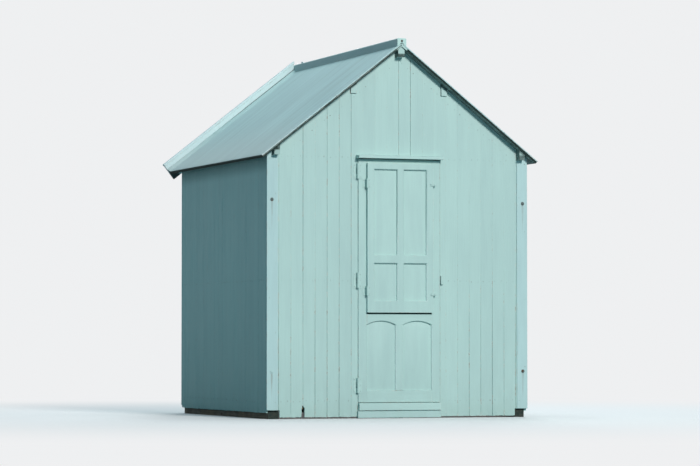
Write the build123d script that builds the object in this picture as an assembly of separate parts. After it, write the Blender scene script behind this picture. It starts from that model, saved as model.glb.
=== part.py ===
"""A demountable wooden beach hut: boarded wall panels on timber frames, purlins
that show at the gables, a pitched roof, and one outward-opening panelled door.

Front is -Y, X runs to the right across the front, Z is up. The origin is on the
ground at the centre of the plan, under the middle bearer. Sizes in millimetres.
"""

import os
from math import cos, radians, sin, tan

from build123d import *

# Overall form
wall_width = 2000.0
wall_depth = 2000.0
eaves_height = 1875.0
roof_pitch = 38.0

# Boards and frame timbers
board_thickness = 18.0
frame_depth = 50.0
frame_width = 60.0
middle_rail_height = 950.0

# Base
bearer_width = 80.0
bearer_height = 70.0
deck_thickness = 25.0
side_boards_bottom = 45.0
gable_boards_bottom = 12.0
corner_notch_clearance = 6.0

# Cover boards on the corners of both gables
corner_board_width = 82.0
corner_board_thickness = 8.0

# Split at the foot of one front board, where a piece is missing
split_from_corner = 274.0
split_width = 22.0
split_height = 92.0

# Roof
roof_thickness = 22.0
eaves_overhang = 45.0
front_overhang = 65.0
back_overhang = 155.0
ridge_beam_width = 50.0
ridge_beam_height = 75.0
middle_purlin_width = 45.0
middle_purlin_position = 348.0
middle_purlin_depth = 52.0
eaves_purlin_width = 42.0
eaves_purlin_inset = 60.0
eaves_purlin_depth = 43.0
purlin_setback = 10.0
middle_purlin_reach = 12.0
purlin_clearance = 1.5
rafter_drop = 60.0
rafter_depth = 60.0
ridge_batten_width = 70.0
ridge_batten_rise = 32.0
ridge_batten_bevel = 7.0

# Verge boards over the back edge of the roof
verge_thickness = 22.0
verge_above_roof = 54.0
verge_below_roof = 50.0
verge_cap_width = 38.0
verge_cap_thickness = 16.0
verge_cap_bevel = 5.0

# Doorway and its fixed pieces
sill_rise = 17.0
sill_nose_depth = 34.0
sill_nose_height = 55.0
sill_fall = 5.0
drip_board_lap = 14.5
drip_board_reach = 62.0
drip_board_height = 26.0
drip_board_fall = 8.0
drip_groove_radius = 3.5
drip_groove_inset = 11.0
weathered_arris = 3.0
kick_board_thickness = 12.0
kick_board_bottom = 4.0

# Door, which sits in the boards and closes against the posts, lapping them all round
door_width = 625.0
door_thickness = 26.0
door_gap = 5.0
door_side_gap = 6.0
door_lap = 20.0
door_head_drop = 28.0
stile_width = 64.0
top_rail_height = 57.0
lock_rail_height = 98.0
bottom_rail_height = 82.0
muntin_width = 58.0
lower_panel_height = 493.0
arch_rise = 27.0
sight_bevel = 4.0
panel_setback = 13.0
panel_tongue = 9.0
panel_thickness = 7.0
panel_clearance = 0.5
panel_bevel_margin = 4.0
panel_field_margin = 26.0
panel_field_rise = 5.0

# Upper leaf, hung on the face of the door over its window opening
leaf_side_margin = 60.5
leaf_top_margin = 29.0
leaf_bottom_lap = 37.0
leaf_thickness = 26.0
leaf_stile_width = 52.0
leaf_top_rail = 45.0
leaf_bottom_rail = 85.0
leaf_middle_rail = 60.0
leaf_low_pane_height = 265.0
leaf_bar_width = 50.0
leaf_bevel = 5.0
leaf_rebate = 8.0
leaf_panel_thickness = 7.0
leaf_panel_setback = 17.0

# Hinges of the door: heights above its foot, and the top one's drop from its head
hinge_bottom_rise = 118.0
hinge_middle_rise = 864.0
hinge_top_drop = 87.0
hinge_length = 110.0
hinge_plate_width = 24.0
hinge_plate_thickness = 3.0
hinge_barrel_radius = 6.5
hinge_pin_radius = 3.0
hinge_pin_clearance = 0.3
hinge_barrel_gap = 0.5

# Hinges and turn catches of the upper leaf, from its foot and its head
leaf_hinge_rise = 153.0
leaf_hinge_drop = 145.0
leaf_hinge_length = 64.0
leaf_hinge_plate_width = 20.0
leaf_hinge_plate_thickness = 2.0
leaf_hinge_barrel_radius = 5.0
catch_rise = 130.0
catch_drop = 148.0
catch_block_width = 22.0
catch_lap = 20.0
catch_width = 16.0
catch_thickness = 5.0
catch_screw_radius = 5.0
catch_screw_head = 2.5

# Keeper of the door's lock, from the door's foot
keeper_rise = 870.0
keeper_length = 62.0
keeper_width = 20.0
keeper_reach = 16.0
keeper_wall = 3.0

# Lines worked out from the sizes above
side_face = wall_width / 2
front_face = -wall_depth / 2
back_face = wall_depth / 2
side_inner = side_face - board_thickness
front_inner = front_face + board_thickness
back_inner = back_face - board_thickness
post_inner = side_inner - frame_depth
deck_top = bearer_height + deck_thickness
slope = tan(radians(roof_pitch))
pitch_sine = sin(radians(roof_pitch))
pitch_cosine = cos(radians(roof_pitch))
roof_front = front_face - front_overhang
roof_back = back_face + back_overhang
eaves_edge = side_face + eaves_overhang
purlin_front = roof_front + purlin_setback
middle_purlin_front = front_face - middle_purlin_reach
corner_notch_width = board_thickness + bearer_width
corner_notch_height = bearer_height + corner_notch_clearance
sill_top = deck_top + sill_rise
door_back = front_inner - door_gap
door_face = door_back - door_thickness
door_bottom = sill_top + door_gap
door_top = eaves_height - door_head_drop
opening_half = door_width / 2 + door_side_gap
opening_top = door_top + door_gap
stop_half = door_width / 2 - door_lap
stop_top = door_top - door_lap
arch_crown = door_bottom + bottom_rail_height + lower_panel_height
lock_rail_top = arch_crown + lock_rail_height
leaf_face = door_face - leaf_thickness
leaf_width = door_width - 2 * leaf_side_margin
leaf_bottom = lock_rail_top - leaf_bottom_lap
leaf_top = door_top - leaf_top_margin


def roof_under(x):
    """Height of the roof's underside at x."""
    return eaves_height + (side_face - abs(x)) * slope


def off_slope(x, above):
    """A point that lies square off the left slope's underside at x."""
    return (x - above * pitch_sine, roof_under(x) + above * pitch_cosine)


def block(x, y, z):
    """A squared timber between the low and high values on each axis."""
    size = [high - low for low, high in (x, y, z)]
    middle = [(high + low) / 2 for low, high in (x, y, z)]
    return Pos(*middle) * Box(*size)


def run_back(sketch, y_low, y_high):
    """A sketch of the front elevation, made solid from y_low back to y_high."""
    return extrude(Plane.XZ.offset(-y_high) * sketch, amount=y_high - y_low)


def run_across(sketch, x_low, x_high):
    """A sketch of the side elevation, made solid from x_low to x_high."""
    return extrude(Plane.YZ.offset(x_low) * sketch, amount=x_high - x_low)


def run_up(sketch, z_low, z_high):
    """A sketch of the plan, made solid from z_low to z_high."""
    return extrude(Plane.XY.offset(z_low) * sketch, amount=z_high - z_low)


def outline(*points):
    return make_face(Polyline(*points, close=True))


def rectangle(across, up):
    """A rectangle between the low and high values of a sketch's two axes."""
    middle = ((across[0] + across[1]) / 2, (up[0] + up[1]) / 2)
    return Pos(*middle) * Rectangle(across[1] - across[0], up[1] - up[0])


def wider(limits, spare):
    return (limits[0] - spare, limits[1] + spare)


def opposite(shape):
    """The same piece on the other side of the hut."""
    return mirror(shape, about=Plane.YZ)


def behind(shape):
    """The same piece on the other gable."""
    return mirror(shape, about=Plane.XZ)


# Purlins: the ridge beam, one on each slope and one at each eaves. Their tops are
# planed to the pitch, and their ends show beyond the front gable, the middle ones least.


def purlin_places():
    """Position, width and underside of the purlins, from the left eaves across."""
    eaves_position = side_face - eaves_purlin_inset
    middle_outer = middle_purlin_position + middle_purlin_width / 2
    eaves_outer = eaves_position + eaves_purlin_width / 2
    middle_bottom = roof_under(middle_outer) - middle_purlin_depth
    eaves_bottom = roof_under(eaves_outer) - eaves_purlin_depth
    return {
        "left_eaves": (-eaves_position, eaves_purlin_width, eaves_bottom),
        "left_middle": (-middle_purlin_position, middle_purlin_width, middle_bottom),
        "ridge": (0.0, ridge_beam_width, roof_under(0) - ridge_beam_height),
        "right_middle": (middle_purlin_position, middle_purlin_width, middle_bottom),
        "right_eaves": (eaves_position, eaves_purlin_width, eaves_bottom),
    }


def purlin_section(position, width, bottom, spare=0.0):
    """A purlin's end, spare wider and deeper, with its top raised by spare too."""
    low, high = position - width / 2 - spare, position + width / 2 + spare
    crown = [(0, roof_under(0) + spare)] if low < 0 < high else []
    top = [(high, roof_under(high) + spare), *crown, (low, roof_under(low) + spare)]
    return outline((low, bottom - spare), (high, bottom - spare), *top)


def make_purlins():
    places = purlin_places()

    def purlin(name, front=purlin_front):
        return run_back(purlin_section(*places[name]), front, roof_back)

    middle_left = purlin("left_middle", middle_purlin_front)
    middle_right = purlin("right_middle", middle_purlin_front)
    return {
        "ridge_beam": purlin("ridge"),
        "middle_purlins": middle_left + middle_right,
        "eaves_purlins": purlin("left_eaves") + purlin("right_eaves"),
    }


def purlin_pockets(spare):
    """What the purlins take out of the pieces that they pass through or sit in."""
    pockets = Part()
    for place in purlin_places().values():
        pockets += run_back(purlin_section(*place, spare=spare), purlin_front, roof_back)
    return pockets


# Base: three bearers on the ground and the floor deck on them.


def make_base():
    deck_y = (front_inner, back_inner)
    height = (0, bearer_height)
    outer = block((-side_inner, -side_inner + bearer_width), deck_y, height)
    return {
        "outer_bearers": outer + opposite(outer),
        "middle_bearer": block((-bearer_width / 2, bearer_width / 2), deck_y, height),
        "floor_deck": block((-side_inner, side_inner), deck_y, (bearer_height, deck_top)),
    }


# Walls: boarded skins, cut to the roof slope at the gables and notched at the foot
# of each corner.


def gable_outline(x_low, x_high, z_low):
    crown = [(0, roof_under(0))] if x_low < 0 < x_high else []
    top = [(x_high, roof_under(x_high)), *crown, (x_low, roof_under(x_low))]
    return outline((x_low, z_low), (x_high, z_low), *top)


def make_walls():
    notch = rectangle((-side_face, -side_face + corner_notch_width), (0, corner_notch_height))
    split_middle = -side_face + split_from_corner
    split_x = (split_middle - split_width / 2, split_middle + split_width / 2)
    split = rectangle(split_x, (0, split_height))
    left = gable_outline(-side_face, -opening_half, gable_boards_bottom) - notch
    right = gable_outline(opening_half, side_face, gable_boards_bottom)
    right = right - mirror(notch, about=Plane.YZ)
    whole = gable_outline(-side_face, side_face, gable_boards_bottom)
    whole = whole - notch - mirror(notch, about=Plane.YZ)
    fronts = {
        "front_wall_left": left - split,
        "front_wall_right": right,
        "front_wall_over_door": gable_outline(-opening_half, opening_half, opening_top),
    }
    pockets = purlin_pockets(purlin_clearance)
    walls = {
        name: run_back(sketch, front_face, front_inner) - pockets
        for name, sketch in fronts.items()
    }
    walls["back_wall"] = run_back(whole, back_inner, back_face) - pockets

    side = outline(
        (-side_face, side_boards_bottom),
        (-side_inner, side_boards_bottom),
        (-side_inner, roof_under(side_inner)),
        (-side_face, roof_under(side_face)),
    )
    walls["left_wall"] = run_back(side, front_inner, back_inner)
    walls["right_wall"] = opposite(walls["left_wall"])
    return walls


def make_corner_boards():
    inner = -side_face + corner_board_width
    sketch = gable_outline(-side_face, inner, corner_notch_height)
    board = run_back(sketch, front_face - corner_board_thickness, front_face)
    pair = board + opposite(board) - purlin_pockets(purlin_clearance)
    return {"front_corner_boards": pair, "back_corner_boards": behind(pair)}


# Frames inside the skins: posts at the corners and the doorway, rails between them,
# and rafters on the top rail of each gable that carry the purlins.


def make_frames():
    pockets = purlin_pockets(0)
    post_top = purlin_places()["left_eaves"][2]
    corner_y = (front_inner, front_inner + frame_width)
    corner = block((-side_inner, -post_inner), corner_y, (deck_top, post_top))
    corners = corner + opposite(corner)

    side_rails = Part()
    side_y = (corner_y[1], -corner_y[1])
    for low in (deck_top, middle_rail_height, post_top - frame_width):
        rail = block((-side_inner, -post_inner), side_y, (low, low + frame_width))
        side_rails += rail + opposite(rail)

    gable_y = (front_inner, front_inner + frame_depth)
    door_post_x = (-stop_half - frame_width, -stop_half)
    door_post = block(door_post_x, gable_y, (deck_top, stop_top))
    tie_top = stop_top + frame_width
    tie = block((-post_inner, post_inner), gable_y, (stop_top, tie_top)) - pockets
    front_rails = tie
    back_rails = tie
    for low in (deck_top, middle_rail_height):
        rail_z = (low, low + frame_width)
        short = block((-post_inner, door_post_x[0]), gable_y, rail_z)
        front_rails += short + opposite(short)
        back_rails += block((-post_inner, post_inner), gable_y, rail_z)

    rafter_top = roof_under(0) - rafter_drop
    rafter_under = rafter_top - rafter_depth / pitch_cosine
    rafter_sketch = outline(
        (0, rafter_top),
        (0, rafter_under),
        (-(rafter_under - tie_top) / slope, tie_top),
        (-(rafter_top - tie_top) / slope, tie_top),
    )
    rafter_sketch &= rectangle((-post_inner, 0), (tie_top, rafter_top))
    rafter = run_back(rafter_sketch, *gable_y) - pockets
    return {
        "front_corner_posts": corners,
        "back_corner_posts": behind(corners),
        "side_wall_rails": side_rails,
        "front_wall_rails": front_rails,
        "back_wall_rails": behind(back_rails),
        "door_posts": door_post + opposite(door_post),
        "front_left_rafter": rafter,
        "front_right_rafter": opposite(rafter),
        "back_left_rafter": behind(rafter),
        "back_right_rafter": behind(opposite(rafter)),
    }


# Roof: two slopes that meet at the ridge, a batten over the joint, and the verge
# boards that stand up above the back edge under their caps.


def make_roof():
    crown = roof_under(0) + roof_thickness / pitch_cosine
    slope_sketch = outline(
        (0, roof_under(0)),
        (0, crown),
        off_slope(-eaves_edge, roof_thickness),
        off_slope(-eaves_edge, 0),
    )
    left = run_back(slope_sketch, roof_front, roof_back)

    half = ridge_batten_width / 2
    shoulder = crown - half * slope
    top = crown + ridge_batten_rise
    verge_back = roof_back + verge_thickness
    half_batten = outline(
        (0, crown),
        (0, top),
        (-half + ridge_batten_bevel, top),
        (-half, top - ridge_batten_bevel),
        (-half, shoulder),
    )
    batten = half_batten + opposite(half_batten)

    def verge_strip(low, high):
        """A strip up the left slope, between two heights square off its underside."""
        return outline(
            (-half, roof_under(half) + high / pitch_cosine),
            off_slope(-eaves_edge, high),
            off_slope(-eaves_edge, low),
            (-half, roof_under(half) + low / pitch_cosine),
        )

    verge_top = roof_thickness + verge_above_roof
    verge = run_back(verge_strip(-verge_below_roof, verge_top), roof_back, verge_back)
    cap_lap = (verge_cap_width - verge_thickness) / 2
    cap_sketch = verge_strip(verge_top, verge_top + verge_cap_thickness)
    cap = run_back(cap_sketch, roof_back - cap_lap, verge_back + cap_lap)
    upward = Vector(-pitch_sine, 0, pitch_cosine)
    cap_top = cap.faces().sort_by(lambda face: face.normal_at().dot(upward))[-1]
    cap = chamfer(cap_top.edges().filter_by(Axis.Y, reverse=True), verge_cap_bevel)
    return {
        "left_roof_slope": left,
        "right_roof_slope": opposite(left),
        "ridge_batten": run_back(batten, roof_front, verge_back),
        "verge_boards": verge + opposite(verge),
        "verge_caps": cap + opposite(cap),
    }


# Doorway: the sill with its sloping nose, the kick board under it and the drip
# board that throws rain clear of the door.


def weathered_section(reach, under, top, fall):
    """Side elevation of a board that stands out from the front wall: its top falls to
    the front, the arris there is rounded, and a groove underneath throws off drips."""
    front = front_face - reach
    section = outline((front_face, top), (front_face, under), (front, under), (front, top - fall))
    arris = section.vertices().sort_by(Axis.X)[:2].sort_by(Axis.Y)[-1]
    section = fillet(arris, weathered_arris)
    return section - Pos(front + drip_groove_inset, under) * Circle(drip_groove_radius)


def make_doorway():
    sill_under = sill_top - sill_nose_height
    nose_section = weathered_section(sill_nose_depth, sill_under, sill_top, sill_fall)
    nose = run_across(nose_section, -door_width / 2, door_width / 2)
    boards_x = (-opening_half, opening_half)
    middle = block(boards_x, (front_face, front_inner), (sill_under, sill_top))
    inner_y = (front_inner, front_inner + frame_depth)
    board = block((-stop_half, stop_half), inner_y, (deck_top, sill_top))
    kick_y = (front_inner - kick_board_thickness, front_inner)
    drip_under = door_top + door_gap
    drip_top = drip_under + drip_board_height
    drip_half = door_width / 2 + drip_board_lap
    drip_section = weathered_section(drip_board_reach, drip_under, drip_top, drip_board_fall)
    return {
        "door_sill": nose + middle + board,
        "kick_board": block(boards_x, kick_y, (kick_board_bottom, sill_under)),
        "drip_board": run_across(drip_section, -drip_half, drip_half),
    }


# Door: mortised stiles and rails round two arch-headed panels below, and a window
# opening above that the upper leaf covers.


def arched_panel(spare):
    """Outline of the left lower panel's opening, spare wider all round."""
    low_x = -door_width / 2 + stile_width - spare
    high_x = -muntin_width / 2 + spare
    low_z = door_bottom + bottom_rail_height - spare
    spring_z = arch_crown - arch_rise + spare
    sides = Polyline((low_x, spring_z), (low_x, low_z), (high_x, low_z), (high_x, spring_z))
    crown = ((low_x + high_x) / 2, arch_crown + spare)
    head = ThreePointArc((high_x, spring_z), crown, (low_x, spring_z))
    return make_face([*sides.edges(), head])


def make_door_frame():
    half = door_width / 2
    inner = half - stile_width
    body_y = (door_face, door_back)
    panel_y = (door_face + panel_setback, door_face + panel_setback + panel_thickness)
    groove_sketch = arched_panel(panel_tongue + panel_clearance)
    groove = run_back(groove_sketch, *wider(panel_y, panel_clearance))
    sight = run_back(arched_panel(0), *body_y)
    bevel_place = Plane.XZ.offset(-door_face - sight_bevel) * arched_panel(0)
    bevel = extrude(bevel_place, amount=sight_bevel, taper=-45)
    cut = groove + sight + bevel
    cuts = cut + opposite(cut)

    bottom_z = (door_bottom, door_bottom + bottom_rail_height)
    spring = arch_crown - arch_rise
    stile = block((-half, -inner), body_y, (door_bottom, door_top)) - cuts
    lock_rail = block((-inner, inner), body_y, (spring, lock_rail_top)) - cuts
    bar = block((-muntin_width / 2, muntin_width / 2), body_y, (bottom_z[1], spring)) - cuts
    return {
        "door_stiles": stile + opposite(stile),
        "door_top_rail": block((-inner, inner), body_y, (door_top - top_rail_height, door_top)),
        "door_lock_rail": lock_rail,
        "door_bottom_rail": block((-inner, inner), body_y, bottom_z) - cuts,
        "door_muntin": bar,
    }


def make_door_panels():
    """Raised and fielded panels: a thin board in the groove, and a field that rises
    from it on a wide bevel."""
    front = door_face + panel_setback
    board = run_back(arched_panel(panel_tongue), front, front + panel_thickness)
    bevel_foot = Plane.XZ.offset(-front) * arched_panel(-panel_bevel_margin)
    bevel_top = Plane.XZ.offset(panel_field_rise - front) * arched_panel(-panel_field_margin)
    panel = board + loft([bevel_foot, bevel_top], ruled=True)
    return {"door_panels": panel + opposite(panel)}


def leaf_openings():
    """The x and z ranges of the four openings in the upper leaf."""
    outer = leaf_width / 2 - leaf_stile_width
    inner = leaf_bar_width / 2
    low_bottom = leaf_bottom + leaf_bottom_rail
    low_top = low_bottom + leaf_low_pane_height
    low = (low_bottom, low_top)
    high = (low_top + leaf_middle_rail, leaf_top - leaf_top_rail)
    return [(x, z) for x in ((-outer, -inner), (inner, outer)) for z in (low, high)]


def make_upper_leaf():
    half = leaf_width / 2
    frame = block((-half, half), (leaf_face, door_face), (leaf_bottom, leaf_top))
    panels = Part()
    panel_front = leaf_face + leaf_panel_setback
    lap = leaf_rebate - panel_clearance
    for x, z in leaf_openings():
        frame -= run_back(rectangle(x, z), leaf_face, door_face)
        rebate = rectangle(wider(x, leaf_rebate), wider(z, leaf_rebate))
        frame -= run_back(rebate, panel_front, door_face)
        bevel_place = Plane.XZ.offset(-leaf_face - leaf_bevel) * rectangle(x, z)
        frame -= extrude(bevel_place, amount=leaf_bevel, taper=-45)
        panel_sketch = rectangle(wider(x, lap), wider(z, lap))
        panels += run_back(panel_sketch, panel_front, panel_front + leaf_panel_thickness)
    return {"upper_leaf_frame": frame, "upper_leaf_panels": panels}


# Hinges: each has a cranked bracket that stands off the surface behind, a barrel
# level with the edge of the leaf's face, and a plate on that face.


def bracket_sketches(pin, radius, plate_width, thickness, wall_y):
    """Plans of a bracket's knuckle with its leg, and of its foot on the surface."""
    leg_x = (pin[0] - radius, pin[0] - radius + thickness)
    knuckle = Pos(*pin) * Circle(radius) + rectangle(leg_x, (pin[1], wall_y))
    foot = rectangle((leg_x[0] - plate_width, leg_x[1]), (wall_y - thickness, wall_y))
    return knuckle, foot


def plate_sketches(pin, radius, plate_width, thickness, face_y):
    """Plans of the leaf's knuckle with its tongue, and of its plate on the face."""
    edge_x = pin[0] + radius
    plate_y = (face_y - thickness, face_y)
    knuckle = Pos(*pin) * Circle(radius) + rectangle((pin[0], edge_x + plate_width), plate_y)
    return knuckle, rectangle((edge_x, edge_x + plate_width), plate_y)


def make_door_hinges():
    radius = hinge_barrel_radius
    pin = (-door_width / 2 - radius, door_face - radius)
    plate = (hinge_plate_width, hinge_plate_thickness)
    bracket_knuckle, foot = bracket_sketches(pin, radius, *plate, front_face)
    strap_knuckle, strap = plate_sketches(pin, radius, *plate, door_face)
    bore = Pos(*pin) * Circle(hinge_pin_radius + hinge_pin_clearance)
    knuckle_length = hinge_length / 3
    hinge_heights = (
        door_bottom + hinge_bottom_rise,
        door_bottom + hinge_middle_rise,
        door_top - hinge_top_drop,
    )
    brackets = Part()
    straps = Part()
    for middle in hinge_heights:
        low, high = middle - hinge_length / 2, middle + hinge_length / 2
        brackets += run_up(bracket_knuckle, low, low + knuckle_length)
        brackets += run_up(bracket_knuckle, high - knuckle_length, high)
        brackets += run_up(foot, low, high)
        brackets += run_up(Pos(*pin) * Circle(hinge_pin_radius), low, high)
        inner_low = low + knuckle_length + hinge_barrel_gap
        inner_high = high - knuckle_length - hinge_barrel_gap
        straps += run_up(strap_knuckle - bore, inner_low, inner_high)
        straps += run_up(strap, low, high)
    return {"door_hinge_brackets": brackets, "door_hinge_straps": straps}


def make_upper_leaf_fittings():
    radius = leaf_hinge_barrel_radius
    pin = (-leaf_width / 2 - radius, leaf_face - radius)
    plate = (leaf_hinge_plate_width, leaf_hinge_plate_thickness)
    bracket_knuckle, foot = bracket_sketches(pin, radius, *plate, door_face)
    strap_knuckle, strap = plate_sketches(pin, radius, *plate, leaf_face)
    hinges = Part()
    for middle in (leaf_bottom + leaf_hinge_rise, leaf_top - leaf_hinge_drop):
        low, high = middle - leaf_hinge_length / 2, middle + leaf_hinge_length / 2
        hinges += run_up(bracket_knuckle + foot + strap_knuckle + strap, low, high)

    half = leaf_width / 2
    catches = Part()
    for middle in (leaf_bottom + catch_rise, leaf_top - catch_drop):
        height = (middle - catch_width / 2, middle + catch_width / 2)
        block_x = (half, half + catch_block_width)
        catches += block(block_x, (leaf_face, door_face), height)
        button_y = (leaf_face - catch_thickness, leaf_face)
        catches += block((half - catch_lap, block_x[1]), button_y, height)
        screw = Pos(half + catch_block_width / 2, middle) * Circle(catch_screw_radius)
        catches += run_back(screw, button_y[0] - catch_screw_head, button_y[0])
    return {"upper_leaf_hinges": hinges, "upper_leaf_catches": catches}


def make_lock_keeper():
    """A box keeper on the wall, open towards the door's edge."""
    near = opening_half
    far = near + keeper_width
    keeper_front = front_face - keeper_reach
    shell = rectangle((near, far), (keeper_front, front_face))
    pocket_y = (keeper_front + keeper_wall, front_face - keeper_wall)
    pocket = rectangle((near, far - keeper_wall), pocket_y)
    middle = door_bottom + keeper_rise
    low, high = middle - keeper_length / 2, middle + keeper_length / 2
    body = run_up(shell, low, high) - run_up(pocket, low + keeper_wall, high - keeper_wall)
    return {"lock_keeper": body}


def make_hut():
    nodes = {}
    for make in (
        make_base,
        make_walls,
        make_corner_boards,
        make_frames,
        make_purlins,
        make_roof,
        make_doorway,
        make_door_frame,
        make_door_panels,
        make_upper_leaf,
        make_door_hinges,
        make_upper_leaf_fittings,
        make_lock_keeper,
    ):
        nodes.update(make())
    return nodes


os.makedirs("parts", exist_ok=True)
for node, shape in make_hut().items():
    export_step(shape, f"parts/{node}.step")
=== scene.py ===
# A demountable timber beach hut, put together in the order in which it is built: base,
# frames, boarded walls, roof, doorway, door and ironwork, then the floor and the light.
# Metres. The front is -Y, Z is up, and the origin is on the ground under the middle bearer.

import math
import random

import bmesh
import bpy
from mathutils import Matrix, Vector


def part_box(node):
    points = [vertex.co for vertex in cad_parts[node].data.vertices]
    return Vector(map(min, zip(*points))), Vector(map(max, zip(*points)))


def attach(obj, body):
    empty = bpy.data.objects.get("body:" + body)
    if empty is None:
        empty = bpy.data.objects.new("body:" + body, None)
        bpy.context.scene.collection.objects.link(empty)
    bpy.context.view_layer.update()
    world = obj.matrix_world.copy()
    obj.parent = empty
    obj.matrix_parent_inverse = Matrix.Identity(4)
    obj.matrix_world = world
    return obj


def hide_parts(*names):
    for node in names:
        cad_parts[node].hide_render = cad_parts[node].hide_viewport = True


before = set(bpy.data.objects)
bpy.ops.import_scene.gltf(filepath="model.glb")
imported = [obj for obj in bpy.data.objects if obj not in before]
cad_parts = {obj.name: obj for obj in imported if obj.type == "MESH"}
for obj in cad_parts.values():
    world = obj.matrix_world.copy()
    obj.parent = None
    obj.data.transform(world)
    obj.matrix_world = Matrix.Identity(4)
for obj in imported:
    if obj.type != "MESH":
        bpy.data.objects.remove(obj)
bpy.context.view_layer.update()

# Bearers. Three sawn softwood timbers lie on the ground under the floor, one below each
# side wall and one along the middle. They are unpainted, dark with damp, with the arrises
# worn off, and everything else stands on them.

timber_pale = (0.47, 0.335, 0.195, 1)
timber_late = (0.29, 0.178, 0.088, 1)
timber_grey = (0.33, 0.31, 0.275, 1)
knot_brown = (0.105, 0.052, 0.026, 1)
damp_dirt = (0.045, 0.043, 0.036, 1)
# A near-black green, laid on as painted shade under edges, in gaps and notches, and on end grain
# that is dark in patches.
wet_black_and_shade = (0.011, 0.025, 0.022, 1)
ring_crowding = 95.0
surface_gloss = 0.25
bearer_end_shade = 0.02
sawn_arris = 0.003
roof_pitch = math.radians(38)


def add(tree, kind, inputs=None, **settings):
    """A node in a material; an input is a value or another node's output."""
    made = tree.nodes.new("ShaderNode" + kind)
    for name, value in settings.items():
        setattr(made, name, value)
    for name, value in (inputs or {}).items():
        if isinstance(value, bpy.types.NodeSocket):
            tree.links.new(value, made.inputs[name])
        else:
            made.inputs[name].default_value = value
    return made


def figure(operation, *values):
    """Arithmetic between a material's values."""
    tree = next(value.id_data for value in values if isinstance(value, bpy.types.NodeSocket))
    return add(tree, "Math", dict(enumerate(values)), operation=operation).outputs[0]


def times(product, *others):
    for other in others:
        product = figure("MULTIPLY", product, other)
    return product


def between(value, low, high, to_low=0.0, to_high=1.0):
    """A value that goes smoothly from to_low at low to to_high at high."""
    inputs = dict(enumerate((value, low, high, to_low, to_high)))
    return add(value.id_data, "MapRange", inputs, interpolation_type="SMOOTHSTEP").outputs[0]


def blended(share, first, second):
    """One colour or number, going over into a second by a share."""
    number = getattr(first, "type", "") == "VALUE"
    kind, at = ("FLOAT", 2) if number else ("RGBA", 6)
    mix = add(share.id_data, "Mix", {0: share, at: first, at + 1: second}, data_type=kind)
    return mix.outputs[0 if number else 2]


def mottle(place, size, detail=3.0, roughness=0.5):
    """Random patches of about a size, in metres."""
    inputs = {"Vector": place, "Scale": 1 / size, "Detail": detail, "Roughness": roughness}
    return add(place.id_data, "TexNoise", inputs).outputs[0]


def spots(material):
    """Places on the piece, in metres from the hut's origin."""
    return add(material.node_tree, "TexCoord").outputs["Object"]


def axes_of(material):
    return add(material.node_tree, "SeparateXYZ", {0: spots(material)}).outputs


def lengthwise(material, run, squeeze):
    """Places squeezed along the run of the grain, so that marks lie long in it."""
    tree, place = material.node_tree, spots(material)
    if run == "slope":
        x, y, z = axes_of(material)
        apart = figure("ADD", y, figure("SIGN", x))
        place = add(tree, "CombineXYZ", {0: figure("ABSOLUTE", x), 1: apart, 2: z}).outputs[0]
        turn = {"Vector": place, "Rotation": (0, -roof_pitch, 0)}
        place = add(tree, "Mapping", turn).outputs[0]
    scale = [1, 1, 1]
    scale[{"back": 1, "up": 2}.get(run, 0)] = squeeze
    return add(tree, "Mapping", {"Vector": place, "Scale": scale}).outputs[0]


def board_tone(material):
    """The tone that each board of a boarded piece carries, from 0 to 1."""
    return add(material.node_tree, "Attribute", attribute_name="tone").outputs["Fac"]


def timber_layers(material, run, boarded=False):
    """Colour and relief of sawn softwood: long bands of early and late wood, knots, and
    grey patches where it has been damp."""
    flow = mottle(lengthwise(material, run, 0.07), 0.11, 1.5)
    fibre = mottle(lengthwise(material, run, 0.03), 0.004, 4.0, 0.7)
    late = times(between(figure("SINE", times(flow, ring_crowding)), -0.2, 1.0), 0.55)
    dark = figure("ADD", late, between(fibre, 0.3, 0.8, 0.0, 0.45))
    colour = blended(dark, timber_pale, timber_late)
    if boarded:
        dull = between(board_tone(material), 0.0, 1.0, 0.45, 0.0)
        colour = blended(dull, colour, timber_grey)
    damp = between(mottle(spots(material), 0.4, 5.0), 0.4, 0.7, 0.1, 0.6)
    colour = blended(damp, colour, timber_grey)
    cells = {"Vector": lengthwise(material, run, 0.45), "Scale": 6.0}
    knot = add(material.node_tree, "TexVoronoi", cells).outputs["Distance"]
    colour = blended(between(knot, 0.1, 0.06), colour, knot_brown)
    return colour, figure("ADD", fibre, times(late, 0.4))


def dress(colour, roughness, height, depth):
    """Gives a material's shader its colour, roughness and relief."""
    tree = colour.id_data
    shader = tree.nodes["Principled BSDF"]
    shader.inputs["Specular IOR Level"].default_value = surface_gloss
    relief = add(tree, "Bump", {"Height": height, "Distance": depth}).outputs[0]
    for name, value in (("Base Color", colour), ("Roughness", roughness), ("Normal", relief)):
        tree.links.new(value, shader.inputs[name])


def overlay(share, colour, roughness):
    """Lays another finish over a material's shader, by a share of each spot."""
    tree = share.id_data
    shader = tree.nodes["Principled BSDF"]
    for name, value in (("Base Color", colour), ("Roughness", roughness)):
        entry = shader.inputs[name]
        tree.links.new(blended(share, entry.links[0].from_socket, value), entry)


def new_material(name):
    material = bpy.data.materials.new(name)
    material.use_nodes = True
    return material


def bare_timber(name, run, boarded=False, dirt=0.0):
    """Softwood as it came from the saw, and dirty by a share."""
    material = new_material(name)
    colour, height = timber_layers(material, run, boarded)
    soiled = mottle(spots(material), 0.09, 6.0, 0.6)
    colour = blended(between(soiled, 0.3, 0.7, dirt, dirt * 0.75), colour, damp_dirt)
    dress(colour, between(height, 0.2, 1.0, 0.68, 0.88), height, 0.0012)
    return material


def take_up(piece):
    """Makes one piece the only one that is selected and worked on."""
    bpy.ops.object.select_all(action="DESELECT")
    piece.select_set(True)
    bpy.context.view_layer.objects.active = piece


def open_mesh(piece):
    """Opens a piece for work on its mesh, with nothing picked."""
    take_up(piece)
    bpy.ops.object.mode_set(mode="EDIT")
    bpy.ops.mesh.select_all(action="DESELECT")


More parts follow.
